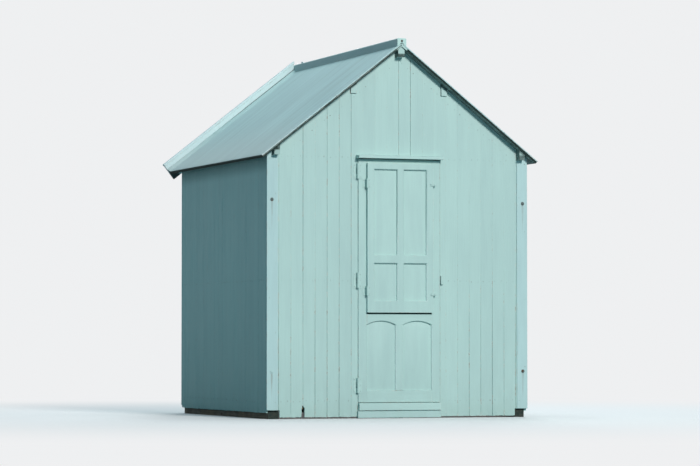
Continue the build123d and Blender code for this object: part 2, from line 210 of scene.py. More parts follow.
def close_mesh():
    bpy.ops.object.mode_set(mode="OBJECT")


def shape(piece, kind, **settings):
    """Puts a modifier on a piece and applies it."""
    take_up(piece)
    modifier = piece.modifiers.new(kind.lower(), kind)
    for name, value in settings.items():
        setattr(modifier, name, value)
    bpy.ops.object.modifier_apply(modifier=modifier.name)


def shade(piece, rounded):
    """Has a piece's faces shaded as one rounded surface, or each as flat."""
    piece.data.polygons.foreach_set("use_smooth", [rounded] * len(piece.data.polygons))


def ease(piece, arris, steps=2):
    """Rounds the arrises of a piece."""
    shade(piece, True)
    shape(piece, "BEVEL", width=arris, segments=steps, limit_method="ANGLE", harden_normals=True,
          angle_limit=math.radians(28), use_clamp_overlap=False)


def fit(piece, material, body, slot, *stands_for):
    """Gives a finished piece its material and fixes it to the hut or the door."""
    if not any(piece.data.materials):
        piece.data.materials.clear()
        piece.data.materials.append(material)
    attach(piece, body)
    if stands_for:
        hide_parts(*stands_for)


def bring_in(name, data):
    """A new piece, lamp or camera in the scene."""
    thing = bpy.data.objects.new(name, data)
    bpy.context.scene.collection.objects.link(thing)
    return thing


def put_in(node, arris, material, slot="mint_paint", body="hut", work=None):
    """Fits a plain piece, worked on in edit mode where need be, with rounded arrises."""
    piece = bring_in(node + "_eased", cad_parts[node].data.copy())
    piece.data.name = piece.name
    piece.data.materials.clear()
    take_up(piece)
    bpy.ops.mesh.customdata_custom_splitnormals_clear()
    open_mesh(piece)
    bpy.ops.mesh.select_all(action="SELECT")
    bpy.ops.mesh.remove_doubles(threshold=0.00002)
    bpy.ops.mesh.dissolve_limited(angle_limit=math.radians(0.6))
    if work:
        work(piece)
    close_mesh()
    ease(piece, arris)
    fit(piece, material, body, slot, node)


def bearer_finish():
    """Sawn timber dark with damp, with painted shade almost black on the end grain."""
    material = bare_timber("bearer_timber", "back", dirt=0.85)
    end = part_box("outer_bearers")[1].y - bearer_end_shade
    along = figure("ABSOLUTE", axes_of(material)["Y"])
    patchy = between(mottle(spots(material), 0.02, 5.0), 0.3, 0.7, 1.0, 0.75)
    # Painted shade, almost black, on the bearers' end grain in the notches at the corners.
    overlay(times(between(along, end, end + bearer_end_shade), patchy), wet_black_and_shade, 0.7)
    return material


bearer_timber = bearer_finish()
for node in ("middle_bearer", "outer_bearers"):
    put_in(node, sawn_arris, bearer_timber, "bare_timber")

# Floor. Square-edged softwood boards are laid across the bearers with a narrow gap and
# nailed down, each a little darker or paler than the next, and worn smooth underfoot.

floor_boards_across = 16
floor_gap = 0.003
floor_arris = 0.0015
floor_sink = 0.0003
floor_seed = 11


def new_piece(make, **settings):
    """A simple piece, with its place, turn and size put into its mesh."""
    bpy.ops.object.select_all(action="DESELECT")
    make(**settings)
    bpy.ops.object.transform_apply(location=True, rotation=True, scale=True)
    return bpy.context.object


def block(name, low, high):
    """A squared block between two corners."""
    middle, size = (Vector(low) + Vector(high)) / 2, Vector(high) - Vector(low)
    piece = new_piece(bpy.ops.mesh.primitive_cube_add, size=1, location=middle, scale=size)
    piece.name = name
    return piece


def set_down(piece, matrix):
    """A copy of a piece, with its own mesh, at another place."""
    copy = bring_in(piece.name, piece.data.copy())
    copy.data.transform(matrix)
    return copy


def give_tone(piece, tone):
    """Marks the faces of a board with its tone, from 0 to 1."""
    marks = piece.data.attributes.new("tone", "FLOAT", "FACE")
    marks.data.foreach_set("value", [tone] * len(piece.data.polygons))


def joined(name, pieces):
    """Makes several pieces one mesh."""
    take_up(pieces[0])
    for piece in pieces:
        piece.select_set(True)
    bpy.ops.object.join()
    whole = bpy.context.object
    whole.name = whole.data.name = name
    return whole


def lay_floor():
    low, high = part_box("floor_deck")
    cover = (high.y - low.y) / floor_boards_across
    first = block("floor_board", low, (high.x, low.y + cover - floor_gap, high.z))
    ease(first, floor_arris, 1)
    chance = random.Random(floor_seed)
    boards = []
    for i in range(floor_boards_across):
        step = (0, i * cover + floor_gap / 2, -chance.uniform(0, floor_sink))
        boards.append(set_down(first, Matrix.Translation(step)))
        give_tone(boards[-1], chance.random())
    bpy.data.objects.remove(first)
    return joined("floor_boards", boards)


floor_timber = bare_timber("floor_timber", "across", boarded=True)
fit(lay_floor(), floor_timber, "hut", "bare_timber", "floor_deck")

# Wall frames. Posts stand at the corners and beside the door, rails run between them, and
# a pair of rafters on each gable carries the purlins. All are sawn softwood, halved
# and nailed, and left bare inside.

frame_runs = {
    "up": ("front_corner_posts", "back_corner_posts", "door_posts"),
    "back": ("side_wall_rails",),
    "across": ("front_wall_rails", "back_wall_rails"),
    "slope": ("front_left_rafter", "front_right_rafter", "back_left_rafter", "back_right_rafter"),
}

for run, timbers in frame_runs.items():
    frame_timber = bare_timber("frame_timber_" + run, run)
    for node in timbers:
        put_in(node, sawn_arris, frame_timber, "bare_timber")

# Purlins. The ridge beam, two middle purlins and two eaves purlins run the length of the
# roof. Their ends stand out under the front edge of the roof and are painted with the
# walls, and the rest is bare inside the hut.

mint = (0.452, 0.636, 0.603, 1)
undercoat = (0.70, 0.71, 0.65, 1)
timber_worn = (0.30, 0.27, 0.22, 1)
foot_grime = (0.25, 0.31, 0.255, 1)
foot_green = (0.19, 0.29, 0.20, 1)
grime_top, green_top = 0.42, 0.15
purlin_arris = 0.002
purlin_end_depth = 0.004
end_dark_edge = 0.006
roof_shade_foot, roof_shade_full = -0.022, -0.012
inside_wall, outside_wall = 0.991, 1.0
left_side_shade = 0.75
ridge_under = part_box("ridge_beam")[1].z
roof_cosine, roof_sine = math.cos(roof_pitch), math.sin(roof_pitch)
# How much the end grain is painted darker: up to a height, and on the left and the right
# below that height, on the left and the right above it, and next to the roof boards, where it is
# painted shade under the roof's front edge.
end_darkness = {
    "ridge_beam": (0.024, (0.92, 0.92), (0.0, 0.1), 0.0),
    "middle_purlins": (0.0, (0.0, 0.0), (0.0, 0.0), 0.8),
    "eaves_purlins": (0.034, (0.25, 0.80), (0.98, 0.35), 0.8),
}


def tinted(colour, strength, blue=1.0):
    """A colour made paler or darker, and bluer or greener."""
    return (colour[0] * strength, colour[1] * strength, colour[2] * strength * blue, 1)


def worn_arrises(material, reach, start, softness=0.03):
    """Where a piece's arrises have rubbed through, in broken stretches that begin at a level
    of the mottle."""
    tree = material.node_tree
    rounded = add(tree, "Bevel", {"Radius": reach}, samples=4).outputs[0]
    flat = add(tree, "NewGeometry").outputs["Normal"]
    turn = add(tree, "VectorMath", {0: rounded, 1: flat}, operation="DOT_PRODUCT")
    edge = between(turn.outputs["Value"], 0.995, 0.90)
    patch = mottle(spots(material), 0.045, 8.0, 0.68)
    broken = between(figure("ADD", patch, times(edge, 0.12)), start, start + softness)
    return times(between(edge, 0.05, 0.3), broken)


def oil_paint(name, colour, run, boarded=False, wear=0.5, grime=0.25, dull=0.42):
    """Gloss paint brushed on timber and gone chalky: streaked by rain, dirty at the foot,
    and rubbed through to undercoat and grey timber on the arrises."""
    material = new_material(name)
    brushed = mottle(lengthwise(material, run, 0.03), 0.0028, 3.0, 0.6)
    grain = mottle(lengthwise(material, run, 0.05), 0.012, 5.0, 0.62)
    streak = mottle(lengthwise(material, run, 0.12), 0.06, 5.0, 0.6)
    broad = mottle(spots(material), 0.8, 4.0)
    tone = figure("ADD", between(streak, 0.3, 0.7, 0.0, 0.4), between(broad, 0.3, 0.7, 0.0, 0.35))
    if boarded:
        tone = figure("ADD", times(tone, 0.7), times(board_tone(material), 0.3))
    base = blended(tone, tinted(colour, 0.90, 1.015), tinted(colour, 1.08, 0.99))
    height = figure("ADD", times(brushed, 0.35), grain)
    dress(base, between(grain, 0.25, 0.75, dull, dull + 0.18), height, 0.0007)

    z = axes_of(material)["Z"]
    patch = mottle(lengthwise(material, "up", 0.5), 0.07, 6.0, 0.62)
    low = between(z, grime_top, 0.02)
    overlay(times(low, between(patch, 0.36, 0.66, 0.0, 0.42 * grime)), foot_grime, 0.8)
    damp = between(z, green_top, 0.03)
    overlay(times(damp, between(patch, 0.62, 0.40, 0.0, 0.45 * grime)), foot_green, 0.85)
    flake = mottle(lengthwise(material, run, 0.25), 0.03, 8.0, 0.7)
    overlay(between(flake, 0.705, 0.72, 0.0, 0.8), undercoat, 0.75)
    overlay(worn_arrises(material, 0.0055, 0.66 - 0.07 * wear), undercoat, 0.75)
    overlay(worn_arrises(material, 0.0045, 0.71 - 0.07 * wear), timber_worn, 0.85)
    return material


def bare_inside(material, run):
    """Leaves a painted piece bare inside the walls."""
    x, y = (figure("ABSOLUTE", axis) for axis in axes_of(material)[:2])
    inside = times(figure("LESS_THAN", y, inside_wall), figure("LESS_THAN", x, inside_wall))
    overlay(inside, timber_layers(material, run)[0], 0.8)
    return material


def roof_axes(material):
    """How far a place lies down the slope from the ridge, and how far above its underside."""
    x, _, z = axes_of(material)
    out = figure("ABSOLUTE", x)
    down = figure("SUBTRACT", ridge_under, z)
    along = figure("ADD", times(out, roof_cosine), times(down, roof_sine))
    return along, figure("SUBTRACT", times(out, roof_sine), times(down, roof_cosine))


def faces_left(material):
    """1 on the faces that are turned to the left, and 0 on the others."""
    tree = material.node_tree
    facing = add(tree, "SeparateXYZ", {0: add(tree, "NewGeometry").outputs["Normal"]})
    return figure("LESS_THAN", facing.outputs["X"], -0.7)


def purlin_finish(node):
    """Paint outside and bare timber inside. The end grain is painted darker in patches, with
    painted shade next to the roof, and the left-facing sides outside the wall carry painted shade."""
    material = bare_inside(oil_paint(node + "_paint", mint, "back"), "back")
    x, y, z = axes_of(material)
    height, lower, upper, roof_shade_share = end_darkness[node]
    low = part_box(node)[0]
    higher = between(z, low.z + height - end_dark_edge, low.z + height + end_dark_edge)
    dark_end = blended(higher, between(x, -0.3, 0.3, *lower), between(x, -0.3, 0.3, *upper))
    above = roof_axes(material)[1]
    # Painted shade on the ends next to the roof, under the roof's front edge.
    roof_edge_shade = between(above, roof_shade_foot, roof_shade_full, 0.0, roof_shade_share)
    uneven = between(mottle(spots(material), 0.02, 5.0), 0.3, 0.6, 0.8, 1.0)
    at_end = figure("LESS_THAN", y, low.y + purlin_end_depth)
    overlay(times(figure("MAXIMUM", dark_end, roof_edge_shade), at_end, uneven), wet_black_and_shade, 0.8)
    # Painted shade on the left-facing sides of the ends outside the wall.
    outside = figure("LESS_THAN", y, -outside_wall)
    overlay(times(faces_left(material), outside, left_side_shade, uneven), wet_black_and_shade, 0.85)
    return material


for node in end_darkness:
    put_in(node, purlin_arris, purlin_finish(node))

# Wall boards. Tongued, grooved and V-jointed softwood boards stand upright all round, with
# the grooves outwards. They are nailed to the frames, sawn to the slope of the roof and
# painted outside, and their feet have worn ragged in the shingle.

boards_across = 22
wall_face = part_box("right_wall")[1].x
board_thickness = wall_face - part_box("right_wall")[0].x
gable_foot, side_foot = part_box("front_wall_left")[0].z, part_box("left_wall")[0].z
board_cover = 2 * wall_face / boards_across
board_gap = 0.0006
board_width = board_cover - board_gap
board_proud = 0.0007
joint_opening, joint_bevel = 0.0020, 0.0017
joint_filled_above, joint_open_below = 1.10, 0.45
# How far the joints of the front wall are open, low down and higher up, from the left.
front_joints = (
    (0, 0.9, 0.75, 0.7, 0.95, 0.92, 0.94, 0.6, *[0] * 7, 0.2, 0.4, 0.9, 0.88, 1, 0.8, 0.9, 0),
    (0, 0.6, 0.3, 0.9, 0.25, 0.85, 0.7, 0.85, *[0.1] * 3, 0.85, 0.93, *[0.1] * 8, 0.3, 0),
)
tongue_from, tongue_to, tongue_taper = 0.34, 0.66, 0.8
tongue_length, groove_depth = 0.0050, 0.0065
rip_spare, tongue_stub = 0.0005, 0.0004
ragged_height, ragged_splits = 0.035, 4
foot_wear, worn_height = 0.0035, 0.002
inner_skin = 0.0015
split_from_corner, split_width, split_height = 0.274, 0.022, 0.092
split_steps, split_step, split_tip, split_lean = 6, 0.018, 0.35, 0.004
pocket_spare = 0.0015
purlin_widths = {"ridge_beam": 0.050, "middle_purlins": 0.045, "eaves_purlins": 0.042}
corner_drop = 0.014
hinge_side_lap = 0.0050
cut_inside, cut_outside, cut_foot = 0.95, 1.05, -0.05
bearer_width = 0.08
eaves_shade = (0.05, 0.085, 0.085, 1)
eaves_shade_foot, eaves_shade_full, foot_shade_top = 1.72, 1.82, 1.3
side_shade_blue, side_shade_blue_share = (0.05, 0.62, 0.67, 1), 0.16


def slope_ways(side):
    """The ways up one slope to the ridge, and square off it."""
    return Vector((-side * roof_cosine, 0, roof_sine)), Vector((side * roof_sine, 0, roof_cosine))


def roof_under(x):
    return ridge_under - abs(x) * math.tan(roof_pitch)


def pick(piece, kind, test):
    """Picks the verts, edges or faces of an open piece that pass a test."""
    bpy.ops.mesh.select_mode(type=kind[:4].upper())
    mesh = bmesh.from_edit_mesh(piece.data)
    for element in getattr(mesh, kind):
        element.select_set(bool(test(element)))
    mesh.select_flush_mode()
    bmesh.update_edit_mesh(piece.data)


def shift(piece, test, by):
    """Moves those vertices of an open piece that pass a test."""
    pick(piece, "verts", lambda vertex: test(vertex.co))
    bpy.ops.transform.translate(value=by)


def bevel_picked(width, steps=1):
    bpy.ops.mesh.bevel(offset=width, segments=steps, affect="EDGES")


def saw(point, outward, whole=True, clear=True):
    """Cuts an open piece along a plane, and clears what stands beyond it."""
    if whole:
        bpy.ops.mesh.select_all(action="SELECT")
    bpy.ops.mesh.bisect(plane_co=point, plane_no=outward, use_fill=clear, clear_outer=clear)


def make_board():
    """One wall board at full length, with its foot at the origin and its face to -Y."""
    middle = (tongue_from * board_thickness, tongue_to * board_thickness)
    board = block("wall_board", (0, 0, 0), (board_width, board_thickness, ridge_under))
    open_mesh(board)
    for depth in middle:
        saw((0, depth, 0), (0, 1, 0), clear=False)

    def draw_out(side, length):
        pick(board, "faces", lambda face: face.normal.x * side > 0.9
             and middle[0] < face.calc_center_median().y < middle[1])
        bpy.ops.mesh.extrude_region_move(TRANSFORM_OT_translate={"value": (length, 0, 0)})

    draw_out(1, tongue_length)
    centre = (0, board_thickness / 2, 0)
    bpy.ops.transform.resize(value=(1, tongue_taper, 1), center_override=centre)
    draw_out(-1, groove_depth)
    for height in (ragged_height, joint_open_below, joint_filled_above):
        saw((0, 0, height), (0, 0, 1), clear=False)
    for i in range(1, ragged_splits):
        pick(board, "faces", lambda face: face.calc_center_median().z < ragged_height)
        saw((board_width * i / ragged_splits, 0, 0), (1, 0, 0), whole=False, clear=False)

    def is_face_arris(edge):
        ends = [vertex.co for vertex in edge.verts]
        outer = all(end.y < 1e-5 and min(end.x, board_width - end.x) < 1e-5 for end in ends)
        return outer and abs(ends[0].z - ends[1].z) > 1e-4

    pick(board, "edges", is_face_arris)
    bevel_picked(joint_bevel)
    close_mesh()
    return board


def set_joint(board, side, low_share, high_share):
    """Fills the groove at one side of a board with paint, or opens it, low down and higher up."""
    edge = 0 if side < 0 else board_width
    for share, above, below in (
        (low_share, -1, joint_open_below + 0.01),
        (high_share, joint_filled_above - 0.01, ridge_under + 1),
    ):
        filled = (1 - share) * joint_bevel
        opened = joint_opening * share**6 if side > 0 else 0
        closed = (1 - share) * board_gap * 0.45

        def is_lip(place):
            beside = abs(place.x - edge) < 1.5 * joint_bevel
            return above < place.z < below and beside and place.y < 1e-5

        def is_root(place):
            beside = abs(place.x - edge) < 1e-4
            return above < place.z < below and beside and abs(place.y - joint_bevel) < 1e-4

        shift(board, is_lip, (side * (filled - opened), 0, 0))
        shift(board, is_root, (side * (closed - opened), -filled, 0))


def trim_end_board(board, first):
    """Rips the groove off the first board of a wall, which is that much wider, or the tongue
    off the last."""
    if first:
        ripped = groove_depth + rip_spare
        saw((ripped, 0, 0), (-1, 0, 0))
        bpy.ops.mesh.select_all(action="SELECT")
        wider = board_width / (board_width - ripped)
        bpy.ops.transform.resize(value=(wider, 1, 1), center_override=(board_width, 0, 0))
    else:
        saw((board_width - tongue_stub, 0, 0), (1, 0, 0))


def cut_out(piece, cutters):
    """Cuts out of a piece the blocks that stand in its way."""
    for cutter in cutters:
        at, cut = ([vertex.co.x for vertex in thing.data.vertices] for thing in (piece, cutter))
        if min(cut) < max(at) and min(at) < max(cut):
            shape(piece, "BOOLEAN", operation="DIFFERENCE", solver="MANIFOLD", object=cutter)


def clear_away(pieces):
    for piece in pieces:
        bpy.data.objects.remove(piece)


def board_wall(name, turn, foot, seed, cutters=(), joints=None):
    """A wall of boards, built facing the front and turned about the hut's middle."""
    chance = random.Random(seed)
    if not joints:
        joints = [[chance.uniform(0.3, 0.95) for _ in range(boards_across + 1)] for _ in range(2)]
    about = Matrix.Rotation(turn, 4, "Z")
    end = wall_face - board_thickness
    boards = []
    for i in range(boards_across):
        low = -wall_face + i * board_cover
        proud = chance.uniform(0, board_proud)
        board = set_down(wall_board, Matrix.Identity(4))
        open_mesh(board)
        set_joint(board, -1, joints[0][i], joints[1][i])
        set_joint(board, 1, joints[0][i + 1], joints[1][i + 1])
        if i in (0, boards_across - 1):
            trim_end_board(board, i == 0)
        close_mesh()
        place = Matrix.Translation((low + board_gap / 2, -wall_face - proud, foot))
        board.data.transform(about @ place)
        open_mesh(board)
        middle = (about @ Vector((low + board_cover / 2, -wall_face, 0))).x
        for side in (-1, 1):
            if middle * side > -board_cover:
                saw((0, 0, ridge_under), slope_ways(side)[1])
        for side in (-1, 1):
            if foot == side_foot and low <= side * end <= low + board_cover:
                saw(about @ Vector((side * end, 0, 0)), about @ Vector((side, 0, 0)))
        close_mesh()
        cut_out(board, cutters)
        give_tone(board, chance.random())
        boards.append(board)
    clear_away(cutters)
    return joined(name, boards)


def cutter(name, left, right, foot, top, facing=-1):
    """A block that cuts right through the front wall or the back one."""
    near, far = sorted((facing * cut_inside, facing * cut_outside))
    return block(name, (left, near, foot), (right, far, top))


def gable_cutters(facing):
    """Blocks for the notches at the feet of the corners and for the purlins' ends."""
    notch_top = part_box("front_corner_boards")[0].z - corner_drop
    bearer_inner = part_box("outer_bearers")[1].x - bearer_width
    cutters = []
    for side in (-1, 1):
        across = sorted((side * bearer_inner, side * cut_outside))
        cutters.append(cutter("notch", *across, cut_foot, notch_top, facing))
    for node, width in purlin_widths.items():
        low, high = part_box(node)
        half = width / 2 + pocket_spare
        for place in sorted({round(low.x + width / 2, 4), round(high.x - width / 2, 4)}):
            top = roof_under(place) + 0.1
            pocket = (place - half, place + half, low.z - pocket_spare, top)
            cutters.append(cutter("pocket", *pocket, facing))
    return cutters


def splinter():
    """The piece that has split off the foot of one front board."""
    middle, half = -wall_face + split_from_corner, split_width / 2
    piece = cutter("splinter", middle - half, middle + half, cut_foot, split_height)
    open_mesh(piece)
    for i in range(1, split_steps):
        saw((0, 0, split_height - i * split_step), (0, 0, 1), clear=False)
    pick(piece, "verts", lambda vertex: vertex.co.z > split_height - 0.001)
    bpy.ops.transform.resize(value=(split_tip, 1, 1), center_override=(middle - split_lean, 0, 0))
    pick(piece, "verts", lambda vertex: vertex.co.z > 0)
    bpy.ops.transform.vertex_random(offset=0.003, seed=3)
    close_mesh()
    return piece


def finish_wall(wall, turn, foot, seed, *nodes):
    """Wears the feet of a wall's boards, leaves its inner face bare and fits it."""
    open_mesh(wall)
    pick(wall, "verts", lambda vertex: vertex.co.z < foot + worn_height)
    bpy.ops.transform.vertex_random(offset=foot_wear, seed=seed)
    close_mesh()
    back = Matrix.Rotation(-turn, 3, "Z")
    wall.data.materials.clear()
    wall.data.materials.append(wall_paint)
    wall.data.materials.append(wall_inside)
    for face in wall.data.polygons:
        inward = (back @ face.normal).y > 0.9
        deep = (back @ face.center).y > -wall_face + board_thickness - inner_skin
        face.material_index = int(inward and deep)
    fit(wall, wall_paint, "hut", "mint_paint", *nodes)


def wall_finish():
    """The walls' paint, with painted bluish shade on the side walls, painted shade under their
    eaves, and the side walls darker towards the foot.
    """
    material = oil_paint("wall_paint", mint, "up", boarded=True, wear=0.35)
    x, _, z = axes_of(material)
    side = figure("GREATER_THAN", figure("ABSOLUTE", x), wall_face - 0.005)
    # Painted shade: the side walls are tinted bluer, as they stand out of the light.
    overlay(times(side, side_shade_blue_share), side_shade_blue, 0.6)
    # Painted shade under the eaves of the side walls, which also grow darker towards the foot.
    under_eaves = between(z, eaves_shade_foot, eaves_shade_full, 0.0, 0.45)
    low_down = between(z, foot_shade_top, 0.0, 0.0, 0.17)
    overlay(times(side, figure("ADD", under_eaves, low_down)), eaves_shade, 0.8)
    return material


wall_paint = wall_finish()
wall_inside = bare_timber("wall_inside", "up", boarded=True)
wall_board = make_board()

doorway_low, doorway_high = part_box("front_wall_over_door")
sill_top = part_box("door_sill")[1].z
hung_side = doorway_low.x + hinge_side_lap
openings = [
    cutter("step", doorway_low.x, doorway_high.x, cut_foot, sill_top),
    cutter("doorway", hung_side, doorway_high.x, sill_top - 0.01, doorway_low.z),
    splinter(),
    *gable_cutters(-1),
]
front_nodes = ("front_wall_left", "front_wall_right", "front_wall_over_door")
front = board_wall("front_boards", 0, gable_foot, 21, openings, front_joints)
finish_wall(front, 0, gable_foot, 1, *front_nodes)
back = board_wall("back_boards", math.pi, gable_foot, 22, gable_cutters(1))
finish_wall(back, math.pi, gable_foot, 2, "back_wall")
for side, turn, seed in (("left", -math.pi / 2, 23), ("right", math.pi / 2, 24)):
    boards = board_wall(side + "_side_boards", turn, side_foot, seed)
    finish_wall(boards, turn, side_foot, seed, side + "_wall")

# Nails. Two wire nails hold each wall board at every rail and rafter behind it. Their
# heads were painted over with the boards, and rust has come through some of them.

nail_radius, nail_height = 0.0033, 0.0014
nail_from_edge, nail_scatter = 0.022, 0.004
gable_rails, side_rails = (0.125, 0.980, 1.857), (0.125, 0.980, 1.832)
rafter_middle_drop = 0.098
doorway_half, doorway_top = 0.33, 1.89
gable_nails_end, side_nails_end = 0.915, 0.975
iron_brown = (0.052, 0.034, 0.024, 1)
rust_orange = (0.150, 0.070, 0.034, 1)


def painted_iron(name, colour, rusty, worn=1.0):
    """Iron painted over with the timber. Rusty is how much rust has come through, and worn
    how far the arrises have rubbed bare."""
    material = new_material(name)
    pitted = mottle(spots(material), 0.006, 6.0, 0.7)
    patch = mottle(spots(material), 0.018, 5.0, 0.6)
    base = blended(between(patch, 0.3, 0.7), tinted(colour, 0.88), colour)
    dress(base, between(patch, 0.3, 0.7, 0.4, 0.6), pitted, 0.0006)
    through = between(patch, 0.72 - 0.5 * rusty, 0.84 - 0.5 * rusty)
    overlay(through, blended(between(pitted, 0.35, 0.65), iron_brown, rust_orange), 0.85)
    overlay(times(worn_arrises(material, 0.002, 0.58, 0.1), worn), iron_brown, 0.8)
    return material


def disc(radius, thickness, sides, middle=0, spin=0):
    """A round plate facing -Y, with its middle at a depth."""
    return new_piece(bpy.ops.mesh.primitive_cylinder_add, vertices=sides, radius=radius,
                     depth=thickness, location=(0, middle, 0), rotation=(math.pi / 2, spin, 0))


def nail_head():
    """A flat nail head at the origin, facing -Y, with its rim eased."""
    head = disc(nail_radius, nail_height, 8)
    open_mesh(head)
    pick(head, "faces", lambda face: face.normal.y < -0.9)
    bpy.ops.mesh.inset(thickness=nail_radius * 0.35)
    bpy.ops.transform.translate(value=(0, -nail_height * 0.3, 0))
    close_mesh()
    return head


def drive(name, head, places, iron, body="hut", rounded=False):
    """Fits copies of a head, made facing -Y, as one piece."""
    heads = joined(name, [set_down(head, place) for place in places])
    shade(heads, rounded)
    fit(heads, iron, body, "painted_iron")


def wall_nails(turn, gable=False, opening=0):
    """Where the nails of one wall go, with half the width of its opening."""
    about = Matrix.Rotation(turn, 4, "Z")
    chance = random.Random(31)
    places = []
    for i in range(boards_across):
        for edge in (nail_from_edge, board_cover - nail_from_edge):
            x = -wall_face + i * board_cover + edge
            rows = [*gable_rails, roof_under(x) - rafter_middle_drop] if gable else side_rails
            for z in rows:
                beside_door = abs(x) > opening or z > doorway_top
                if beside_door and abs(x) < (gable_nails_end if gable else side_nails_end):
                    off = Vector((chance.uniform(-1, 1), 0, chance.uniform(-1, 1))) * nail_scatter
                    spot = Vector((x, -wall_face - board_proud, z)) + off
                    places.append(about @ Matrix.Translation(spot))
    return places


nail_iron = painted_iron("nail_iron", tinted(mint, 0.97), 0.34)
nail = nail_head()
places = wall_nails(0, True, doorway_half) + wall_nails(math.pi, True)
drive("wall_nails", nail, places + wall_nails(math.pi / 2) + wall_nails(-math.pi / 2), nail_iron)

# Corner boards. A thin cover board is nailed up each corner of both gables, over the
# joint between the walls. Two coach bolts through it hold each pair of walls together,
# so that the hut can be taken down. Rust has run down the paint below them.

corner_arris = 0.0018
corner_face = -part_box("front_corner_boards")[0].y
bolt_x, bolt_heights = 0.963, (0.332, 1.548)
bolt_radius, bolt_rise = 0.0085, 0.0055
bolt_crease = 40
bolt_grey = (0.115, 0.155, 0.150, 1)
painted_over_below, painted_over = 0.6, 0.88
washer_radius, washer_thickness, washer_arris = 0.0125, 0.0025, 0.0006
streak_length, streak_width = 0.26, 0.012
corner_nails = 8
corner_nail_x, corner_nail_stagger = 0.935, 0.045
corner_nail_foot, corner_nail_spacing = 0.12, 0.245


def rust_runs(material):
    """Rust washed down the paint from the coach bolts."""
    x, _, z = axes_of(material)
    off_line = figure("ABSOLUTE", figure("SUBTRACT", figure("ABSOLUTE", x), bolt_x))
    wander = mottle(lengthwise(material, "up", 0.15), 0.012, 5.0, 0.6)
    for height in bolt_heights:
        below = figure("SUBTRACT", height, z)
        reach = between(below, -streak_width, streak_length, streak_width, streak_width * 0.35)
        run = between(figure("DIVIDE", off_line, reach), 1.0, 0.1)
        fade = between(below, streak_length, 0.0)
        start = figure("GREATER_THAN", below, -streak_width)
        share = times(run, fade, start, between(wander, 0.3, 0.7, 0.1, 0.5))
        overlay(share, rust_orange, 0.75)


def coach_bolt():
    """A cup-headed bolt on its washer, facing -Y."""
    head = disc(bolt_radius, 2 * bolt_rise, 20)
    open_mesh(head)
    pick(head, "edges", lambda edge: all(end.co.y < -bolt_rise * 0.9 for end in edge.verts))
    bevel_picked(bolt_rise * 0.92, 5)
    close_mesh()
    washer = disc(washer_radius, washer_thickness, 24, -washer_thickness / 2)
    ease(washer, washer_arris)
    bolt = joined("coach_bolt", [head, washer])
    take_up(bolt)
    bpy.ops.object.shade_smooth_by_angle(angle=math.radians(bolt_crease))
    return bolt


def on_corners(spots_up):
    """Places on the four corner boards, each spot a distance out and a height."""
    return [
        Matrix.Rotation(turn, 4, "Z") @ Matrix.Translation((side * x, -corner_face, height))
        for turn in (0, math.pi) for side in (-1, 1) for x, height in spots_up
    ]


corner_paint = oil_paint("corner_paint", tinted(mint, 1.02, 1.05), "up", wear=0.6)
rust_runs(corner_paint)
for node in ("front_corner_boards", "back_corner_boards"):
    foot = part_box(node)[0].z

    def lengthen(piece):
        shift(piece, lambda place: place.z < foot + 0.001, (0, 0, -corner_drop))

    put_in(node, corner_arris, corner_paint, work=lengthen)

# The lower bolt at the left of the front was painted over last.
bolt_iron = painted_iron("bolt_iron", bolt_grey, 0.42)
limits = zip(axes_of(bolt_iron), (0.0, 0.0, painted_over_below))
covered = times(*(figure("LESS_THAN", axis, limit) for axis, limit in limits), painted_over)
overlay(covered, tinted(mint, 1.05, 1.04), 0.5)
bolt = coach_bolt()
bolt_places = on_corners([(bolt_x, height) for height in bolt_heights])
drive("corner_bolts", bolt, bolt_places, bolt_iron, rounded=True)
drive("corner_nails", nail, on_corners([
    (corner_nail_x + corner_nail_stagger * (i % 2), corner_nail_foot + corner_nail_spacing * i)
    for i in range(corner_nails)
]), nail_iron)

# Roof boards. Each slope is boarded from the ridge down to the eaves with the same boards
# as the walls, V-joints down. They show from inside and under the overhangs, where they
# are painted.

slope_low, slope_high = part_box("left_roof_slope")
roof_front, roof_back = slope_low.y, slope_high.y
eaves_edge = (ridge_under - slope_low.z) / math.tan(roof_pitch)
slope_length = eaves_edge / roof_cosine
ridge_clear, ridge_clear_edge = 0.068, 0.008
front_end_shade, eaves_end_shade = 0.001, 0.0015


def on_slope(side, up, off, y):
    """A spot on one slope, so far up from the eaves and off the boards' underside."""
    ridgewards, square_off = slope_ways(side)
    return Vector((side * eaves_edge, y, slope_low.z)) + ridgewards * up + square_off * off


def up_slope(side, point, flat=False):
    """Turns a piece made upright, or one made flat, to lie on one slope of the roof."""
    ridgewards, square_off = slope_ways(side)
    across = Vector((0, -side, 0))
    order = (ridgewards, across, square_off) if flat else (across, square_off, ridgewards)
    return Matrix.Translation(point) @ Matrix(order).transposed().to_4x4()


def board_slope(name, side, seed):
    """The boards of one slope, from one gable to the other."""
    chance = random.Random(seed)
    start, end = (roof_front, roof_back) if side < 0 else (roof_back, roof_front)
    boards = []
    while len(boards) * board_cover < abs(end - start):
        y = start - side * len(boards) * board_cover
        board = set_down(wall_board, up_slope(side, on_slope(side, 0, 0, y)))
        open_mesh(board)
        saw((0, 0, 0), (-side, 0, 0))
        if abs(end - y) < board_cover + tongue_length:
            saw((0, end, 0), (0, -side, 0))
        close_mesh()
        give_tone(board, chance.random())
        boards.append(board)
    return joined(name, boards)


